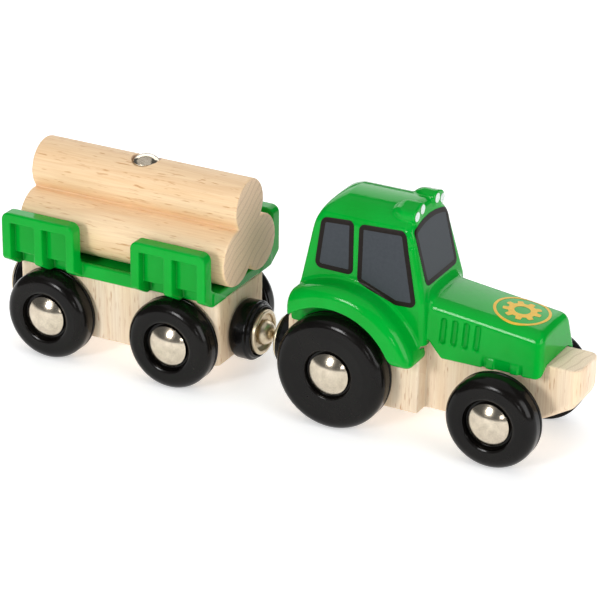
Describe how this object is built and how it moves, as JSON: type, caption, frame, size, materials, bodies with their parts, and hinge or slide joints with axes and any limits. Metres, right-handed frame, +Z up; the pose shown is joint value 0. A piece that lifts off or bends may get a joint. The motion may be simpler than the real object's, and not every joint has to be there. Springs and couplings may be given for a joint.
{
  "type": "toy tractor",
  "caption": "Wooden-railway toy tractor with a beech chassis and moulded body, magnet-coupled to a trailer that carries a lift-off log load.",
  "frame": {"origin": "on the ground, under the middle of the coupled tractor and trailer", "axes": "+X forwards, towards the tractor's nose; +Y to the driver's left; +Z up"},
  "size_m": [0.1348, 0.033, 0.0487],
  "materials": {
    "beech": "bare sanded beech",
    "log_beech": "bare sanded beech with flecks",
    "green_plastic": "glossy moulded plastic with printed windows",
    "wheel_black": "semi-gloss moulded black plastic",
    "coupling_black": "glossy black plastic",
    "nickel": "polished nickel plate",
    "magnet_nickel": "worn nickel plate",
    "window_print": "printed grey ink, glossy",
    "outline_print": "printed black ink",
    "lamp_print": "printed white ink",
    "badge_print": "printed yellow ink",
    "axle_steel": "plain drawn steel"
  },
  "bodies": {
    "tractor": {"tractor_chassis": "beech", "tractor_body": "green_plastic", "body_screws": "axle_steel", "tractor_rear_axle": "axle_steel", "tractor_front_axle": "axle_steel", "tractor_rear_hubcaps": "nickel", "tractor_front_hubcaps": "nickel", "tractor_coupling_barrel": "coupling_black", "tractor_coupling_pin": "magnet_nickel"},
    "tractor_magnet": {"tractor_coupling_magnet": "magnet_nickel"},
    "trailer_magnet": {"trailer_front_coupling_magnet": "magnet_nickel"},
    "trailer": {"trailer_chassis": "beech", "trailer_bed": "green_plastic", "bed_screws": "axle_steel", "trailer_front_axle": "axle_steel", "trailer_rear_axle": "axle_steel", "trailer_front_hubcaps": "nickel", "trailer_rear_hubcaps": "nickel", "trailer_front_coupling_barrel": "coupling_black", "trailer_front_coupling_pin": "magnet_nickel", "trailer_rear_coupling_barrel": "coupling_black", "trailer_rear_coupling_pin": "magnet_nickel"},
    "trailer_rear_magnet": {"trailer_rear_coupling_magnet": "magnet_nickel"},
    "load": {"log_bundle": "log_beech", "log_stud": "nickel"},
    "tractor_rear_wheel_right": {"tractor_rear_wheel_right": "wheel_black"},
    "tractor_rear_wheel_left": {"tractor_rear_wheel_left": "wheel_black"},
    "tractor_front_wheel_right": {"tractor_front_wheel_right": "wheel_black"},
    "tractor_front_wheel_left": {"tractor_front_wheel_left": "wheel_black"},
    "trailer_front_wheel_right": {"trailer_front_wheel_right": "wheel_black"},
    "trailer_front_wheel_left": {"trailer_front_wheel_left": "wheel_black"},
    "trailer_rear_wheel_right": {"trailer_rear_wheel_right": "wheel_black"},
    "trailer_rear_wheel_left": {"trailer_rear_wheel_left": "wheel_black"}
  },
  "joints": [
    {"name": "tractor_magnet_tilt", "type": "hinge", "parent": "tractor", "child": "tractor_magnet", "pos_m": [-0.00032, 0, 0.0104], "axis": [0, 0, 1], "range_deg": [-9, 9]},
    {"name": "uncouple", "type": "slide", "parent": "tractor_magnet", "child": "trailer_magnet", "axis": [-1, 0, 0], "range_m": [0, 0.02]},
    {"name": "trailer_magnet_tilt", "type": "hinge", "parent": "trailer_magnet", "child": "trailer", "pos_m": [-0.00583, 0, 0.0104], "axis": [0, 0, 1], "range_deg": [-9, 9]},
    {"name": "rear_magnet_tilt", "type": "hinge", "parent": "trailer", "child": "trailer_rear_magnet", "pos_m": [-0.06467, 0, 0.0104], "axis": [0, 0, 1], "range_deg": [-9, 9]},
    {"name": "load_lift", "type": "slide", "parent": "trailer", "child": "load", "axis": [0, 0, 1], "range_m": [0, 0.03]},
    {"name": "tractor_rear_wheel_right_spin", "type": "hinge", "parent": "tractor", "child": "tractor_rear_wheel_right", "pos_m": [0.01723, 0, 0.0123], "axis": [0, 1, 0], "continuous": true},
    {"name": "tractor_rear_wheel_left_spin", "type": "hinge", "parent": "tractor", "child": "tractor_rear_wheel_left", "pos_m": [0.01723, 0, 0.0123], "axis": [0, 1, 0], "continuous": true},
    {"name": "tractor_front_wheel_right_spin", "type": "hinge", "parent": "tractor", "child": "tractor_front_wheel_right", "pos_m": [0.05273, 0, 0.0098], "axis": [0, 1, 0], "continuous": true},
    {"name": "tractor_front_wheel_left_spin", "type": "hinge", "parent": "tractor", "child": "tractor_front_wheel_left", "pos_m": [0.05273, 0, 0.0098], "axis": [0, 1, 0], "continuous": true},
    {"name": "trailer_front_wheel_right_spin", "type": "hinge", "parent": "trailer", "child": "trailer_front_wheel_right", "pos_m": [-0.02035, 0, 0.0098], "axis": [0, 1, 0], "continuous": true},
    {"name": "trailer_front_wheel_left_spin", "type": "hinge", "parent": "trailer", "child": "trailer_front_wheel_left", "pos_m": [-0.02035, 0, 0.0098], "axis": [0, 1, 0], "continuous": true},
    {"name": "trailer_rear_wheel_right_spin", "type": "hinge", "parent": "trailer", "child": "trailer_rear_wheel_right", "pos_m": [-0.05015, 0, 0.0098], "axis": [0, 1, 0], "continuous": true},
    {"name": "trailer_rear_wheel_left_spin", "type": "hinge", "parent": "trailer", "child": "trailer_rear_wheel_left", "pos_m": [-0.05015, 0, 0.0098], "axis": [0, 1, 0], "continuous": true}
  ]
}
